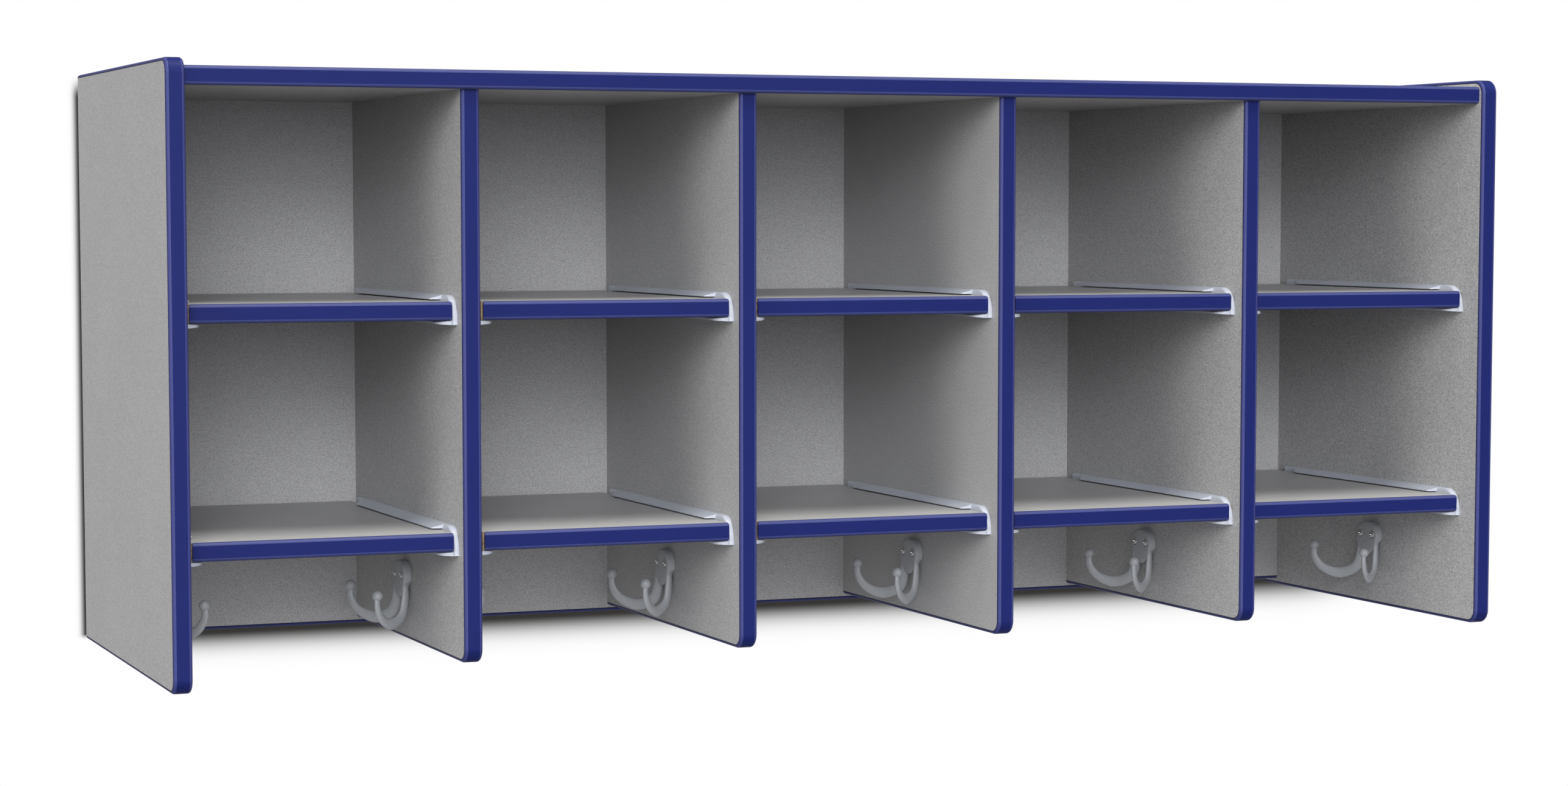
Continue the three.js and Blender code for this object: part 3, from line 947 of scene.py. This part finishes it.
# Shares of the way out and down that an arm takes, and of its section at even steps along it
ARM_CURVE = [
    (0, 0), (-0.01, 0.29), (0.07, 0.73), (0.21, 0.9), (0.5, 1), (0.81, 0.85), (0.95, 0.64),
    (1.01, 0.42),
]
ARM_DEEP_SHARES = [0.6, 0.87, 1.02, 1, 1, 0.8, 0.72, 0.61, 0.56]
ARM_THICK_SHARES = [1, 1, 1, 0.87, 0.74, 0.8, 0.85, 0.8, 0.75]
# Share of an arm's length, to either side of a place, that gives its direction there
LOOK_AHEAD = 0.01


def plate_outline(shares):
    half = [
        (across * PLATE_HALF_WIDTH, up * (PLATE_RISE if up > 0 else PLATE_FALL))
        for across, up in shares
    ]
    return half + [(-a, b) for a, b in reversed(half[1:-1])]


def plate_body():
    face = plate_outline(PLATE_FACE)
    rings = [[Vector((0, a, b)) for a, b in plate_outline(PLATE_FOOT)]]
    for rise, share in DOME:
        off = PLATE_RIM + rise * (PLATE_CROWN - PLATE_RIM)
        rings.append([Vector((off, a * share, b * share)) for a, b in face])
    return loft(rings)


def between(shares, t):
    at = t * (len(shares) - 1)
    low = min(int(at), len(shares) - 2)
    return shares[low] + (shares[low + 1] - shares[low]) * (at - low)


def through(points, t):
    """A smooth curve through points, as the solid's arms have it."""
    at = t * (len(points) - 1)
    i = min(int(at), len(points) - 2)
    t = at - i
    b, c = points[i], points[i + 1]
    a = points[i - 1] if i else b * 2 - c
    d = points[i + 2] if i + 2 < len(points) else c * 2 - b
    gaps = [max((q - p).length ** 0.5, 1e-9) for p, q in ((a, b), (b, c), (c, d))]
    m1 = ((b - a) / gaps[0] - (c - a) / (gaps[0] + gaps[1]) + (c - b) / gaps[1]) * gaps[1]
    m2 = ((c - b) / gaps[1] - (d - b) / (gaps[1] + gaps[2]) + (d - c) / gaps[2]) * gaps[1]
    return (
        b * (2 * t**3 - 3 * t**2 + 1)
        + m1 * (t**3 - 2 * t**2 + t)
        + c * (3 * t**2 - 2 * t**3)
        + m2 * (t**3 - t**2)
    )


def arm_body(way):
    """One arm, and where the ball at its end sits."""
    root = Vector((ARM_ROOT.x, way * ARM_ROOT.y, ARM_ROOT.z))
    ball = Vector((BALL.x, way * BALL.y, BALL.z))
    out = Vector((ball.x - root.x, ball.y - root.y, 0))
    drop = Vector((0, 0, -ARM_SAG - root.z))
    points = [root + out * a + drop * b for a, b in ARM_CURVE] + [ball]
    across = Vector((0, 0, 1)).cross(out).normalized()
    angles = [2 * math.pi * k / ARM_SIDES for k in range(ARM_SIDES)]
    rings = []
    for i in range(ARM_RINGS):
        t = i / (ARM_RINGS - 1)
        before, after = max(t - LOOK_AHEAD, 0), min(t + LOOK_AHEAD, 1)
        ahead = (through(points, after) - through(points, before)).normalized()
        inward = across.cross(ahead).normalized()
        deep = ARM_DEEP * between(ARM_DEEP_SHARES, t)
        thick = ARM_THICK * between(ARM_THICK_SHARES, t)
        centre = through(points, t)
        rings.append(
            [centre + inward * deep * math.cos(a) + across * thick * math.sin(a) for a in angles]
        )
    return loft(rings), ball


def ball_body(centre):
    bm = bmesh.new()
    bmesh.ops.create_uvsphere(bm, u_segments=32, v_segments=18, radius=BALL_RADIUS)
    for v in bm.verts:
        v.co += centre
    return bm


def screw_pocket(side):
    """Pocket for a screw's head in the plate, and the hole for its shank."""
    profile = [
        (PLATE_CROWN + 1 * MM, SCREW_POCKET + 0.5 * MM),
        (PLATE_CROWN - 0.4 * MM, SCREW_POCKET),
        (SCREW_SEAT, SCREW_POCKET - 0.3 * MM),
        (SCREW_SEAT - 0.01 * MM, SCREW_HOLE),
        (-1 * MM, SCREW_HOLE),
    ]
    return turned(profile, side * SCREW_SIDE, SCREW_UP)


def hook_mesh():
    arms, balls = zip(*(arm_body(way) for way in (-1, 1)))
    blended = modified(
        joined("hook", [plate_body(), *arms]),
        ("REMESH", {"mode": "VOXEL", "voxel_size": 0.4 * MM}),
        ("SMOOTH", {"iterations": 6, "factor": 0.5}),
        ("DECIMATE", {"ratio": 0.3}),
    )
    bodies = [bmesh_of(blended), *(ball_body(centre) for centre in balls)]
    mesh = joined("hook", bodies, [screw_pocket(-1), screw_pocket(1)])
    return mesh_from("hook", bmesh_of(mesh), sharp=45)


# Pan-head screw, in millimetres: places along its axis with radii, and its cross recess, given as
# depth with shares of its half length and half width
SCREW_SHANK = [(-4.4, 1.6), (0.0, 1.6)]
SCREW_HEAD = [(0.0, 3.1), (0.5, 3.4), (1.0, 3.3), (1.6, 2.9), (2.0, 2.1), (2.25, 1.2), (2.3, 0.3)]
RECESS_TURN = 0.35
RECESS_HALF_LENGTH = 1.9
RECESS_HALF_WIDTH = 0.42
RECESS_FLOOR = (0.6, 0.5, 0.7)
RECESS_MOUTH = (3, 1.1, 1)
RECESS_CORNERS = ((1, 1), (-1, 1), (-1, -1), (1, -1))


def recess_arm(turn):
    along = Vector((0, math.cos(turn), math.sin(turn))) * RECESS_HALF_LENGTH * MM
    across = Vector((0, -math.sin(turn), math.cos(turn))) * RECESS_HALF_WIDTH * MM
    return loft(
        [
            [
                Vector((depth * MM, 0, 0)) + along * (a * length) + across * (b * width)
                for a, b in RECESS_CORNERS
            ]
            for depth, length, width in (RECESS_FLOOR, RECESS_MOUTH)
        ]
    )


def screw_mesh():
    body = turned([(x * MM, r * MM) for x, r in [*SCREW_SHANK, *SCREW_HEAD]])
    recess = [recess_arm(turn) for turn in (RECESS_TURN, RECESS_TURN + QUARTER)]
    return smoothed(joined("screw", [body], recess), sharp=40)


hook = hook_mesh()
screw = screw_mesh()
for bay in range(1, BAYS + 1):
    for side in ("left", "right"):
        node = f"hook_{bay}_{side}"
        low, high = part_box(node)
        turn, away = (0, 1) if side == "left" else (math.pi, -1)
        face = low.x if side == "left" else high.x
        place = Vector((face, (low.y + high.y) / 2, FOOT + HOOK_HEIGHT))
        name = f"double_{node}"
        piece = piece_from(name, hook, HOOK_PLASTIC, "carcass", [node], place)
        piece.rotation_euler.z = turn
        for label, way in (("near", -1), ("far", 1)):
            name = f"screw_{bay}_{side}_{label}"
            spot = place + Vector((away * (SCREW_SEAT + SCREW_CLEAR), way * SCREW_SIDE, SCREW_UP))
            piece = piece_from(name, screw, STEEL, "carcass", (), spot)
            piece.rotation_euler.z = turn


# Stage
WALL_GAP = 0.3 * MM
STAGE_SIDE = 5
STAGE_TOP = 4
STAGE_DEPTH = 6
STAGE_FLOOR = FOOT - 1.05
FLOOR_COLOUR = srgb(244, 244, 243)

# The wall's shade: where it starts under the unit and how far it stays full, how far it then
# reaches at the left and at the right of SHADE_HALF_SPAN, and how it ends beside the unit
SHADE_COLOUR = srgb(55, 54, 53)
SHADE_START = FOOT + 5.9 * MM
SHADE_FULL = 5.4 * MM
SHADE_REACH_LEFT = 14.2 * MM
SHADE_REACH_RIGHT = 17 * MM
SHADE_HALF_SPAN = 0.5
SHADE_POWER = 1.8
SHADE_SHIFT = 20 * MM
SHADE_LEFT_FADE = 50 * MM
SHADE_RIGHT_FADE = 100 * MM
SHADE_TOP_FADE = 10 * MM
SIDE_REACH = 4.6 * MM
SIDE_POWER = 2.2
SIDE_TOP_FADE = 20 * MM
SIDE_FOOT_FADE = 4 * MM


def stage_plane(name, corners, material):
    mesh = bpy.data.meshes.new(name)
    mesh.from_pydata(corners, [], [range(len(corners))])
    mesh.materials.append(material)
    linked(name, mesh)


def stage_material(name, colour, shade=None):
    """Seen only from the front, so that a view from behind looks through it and light passes."""
    material, graph = new_material(name)
    path = graph.add("ShaderNodeLightPath").outputs["Is Camera Ray"]
    behind = graph.add("ShaderNodeNewGeometry").outputs["Backfacing"]
    seen = graph.times(path, graph.less(1.0, behind))
    tint = shade(graph, colour) if shade else colour
    glow = graph.add("ShaderNodeEmission", Color=tint, Strength=1.0)
    clear = graph.add("ShaderNodeBsdfTransparent")
    both = graph.add("ShaderNodeMixShader")
    graph.feed(both.inputs[0], seen)
    graph.feed(both.inputs[1], clear.outputs[0])
    graph.feed(both.inputs[2], glow.outputs[0])
    graph.add("ShaderNodeOutputMaterial", Surface=both.outputs[0])
    return material


def contact_shade(graph, colour):
    """Soft shade on the wall, close under the back board, a little to the right, and beside the
    ends."""
    parts = graph.add("ShaderNodeSeparateXYZ", Vector=graph.place())
    side, height = parts.outputs[0], parts.outputs[2]
    outward = graph.less(graph.maths("ABSOLUTE", side), UNIT_HIGH.x)
    below = graph.less(SHADE_START, height)
    left_end, right_end = UNIT_LOW.x + SHADE_SHIFT, UNIT_HIGH.x + SHADE_SHIFT

    def fading(distance, reach, power):
        share = graph.maths("MAXIMUM", graph.maths("DIVIDE", distance, reach), 0.0)
        return graph.maths("EXPONENT", graph.times(graph.maths("POWER", share, power), -1.0))

    def within(shade, value, none, full, smooth=False):
        return graph.times(shade, graph.spread(value, none, full, smooth=smooth))

    reach = graph.spread(
        side, -SHADE_HALF_SPAN, SHADE_HALF_SPAN, SHADE_REACH_LEFT, SHADE_REACH_RIGHT
    )
    under = fading(graph.less(below, SHADE_FULL), reach, SHADE_POWER)
    under = within(under, side, left_end, left_end + SHADE_LEFT_FADE, smooth=True)
    under = within(under, side, right_end + SHADE_RIGHT_FADE, right_end, smooth=True)
    under = within(under, below, -SHADE_TOP_FADE, 0.0)
    beside = fading(outward, SIDE_REACH, SIDE_POWER)
    beside = within(beside, height, HEAD, HEAD - SIDE_TOP_FADE, smooth=True)
    beside = within(beside, height, FOOT, FOOT + SIDE_FOOT_FADE)
    return graph.mix(graph.maths("MAXIMUM", under, beside), colour, SHADE_COLOUR)


stage_plane(
    "studio_wall",
    [
        (x, WALL_FACE + WALL_GAP, z)
        for x, z in (
            (-STAGE_SIDE, STAGE_FLOOR),
            (STAGE_SIDE, STAGE_FLOOR),
            (STAGE_SIDE, STAGE_TOP),
            (-STAGE_SIDE, STAGE_TOP),
        )
    ],
    stage_material("studio_wall", WHITE, contact_shade),
)
stage_plane(
    "studio_floor",
    [
        (-STAGE_SIDE, -STAGE_DEPTH, STAGE_FLOOR),
        (STAGE_SIDE, -STAGE_DEPTH, STAGE_FLOOR),
        (STAGE_SIDE, STAGE_DEPTH, STAGE_FLOOR),
        (-STAGE_SIDE, STAGE_DEPTH, STAGE_FLOOR),
    ],
    stage_material("studio_floor", FLOOR_COLOUR),
)


# Light
LIGHT_DISTANCE = 16.0
# Name, turn to the left of straight ahead and rise above level in degrees, size, watts and colour
SOFT_BOXES = [
    ("top_box", 0, 70.5, 9.2, 2540, (1.02, 1.01, 0.97)),
    ("main_box", 20, 24, 7.6, 1046, (0.976, 0.982, 1.041)),
    ("front_box", 10, 10, 7.6, 733, (0.97, 0.98, 1.05)),
    ("middle_box", 0, 20, 7.6, 176, (1, 1, 1)),
    ("near_left_box", 25, 10, 7.6, 334, (1, 1, 1)),
    ("left_box", 64, 12, 5.4, 695, (1.01, 1.0, 0.985)),
    ("far_left_box", 80, 14, 7.6, 173, (1.01, 1.01, 0.97)),
]
ROOM_STRENGTH = 0.388
ROOM_TINT = (0.963, 0.958, 1, 1)


def soft_light(name, turn, rise, size, watts, colour):
    """A soft box aimed at the unit."""
    data = bpy.data.lights.new(name, "AREA")
    data.shape = "DISK"
    data.size = size
    data.energy = watts
    data.color = colour
    light = linked(name, data)
    a, e = math.radians(turn), math.radians(rise)
    away = Vector((-math.sin(a) * math.cos(e), -math.cos(a) * math.cos(e), math.sin(e)))
    light.location = away * LIGHT_DISTANCE
    light.rotation_mode = "QUATERNION"
    light.rotation_quaternion = turned_to(-away)


def studio_world():
    """White where the camera looks past the stage, and a dimmer room for everything else."""
    world = bpy.data.worlds.new("studio")
    world.use_nodes = True
    world.node_tree.nodes.clear()
    graph = Graph(world.node_tree)
    camera_ray = graph.add("ShaderNodeLightPath").outputs["Is Camera Ray"]
    strength = graph.spread(camera_ray, 0.0, 1.0, ROOM_STRENGTH, 1.0)
    tint = graph.mix(camera_ray, ROOM_TINT, WHITE)
    background = graph.add("ShaderNodeBackground", Color=tint, Strength=strength)
    graph.add("ShaderNodeOutputWorld", Surface=background.outputs[0])
    bpy.context.scene.world = world


for box in SOFT_BOXES:
    soft_light(*box)
studio_world()

bpy.context.scene.view_settings.view_transform = "Standard"
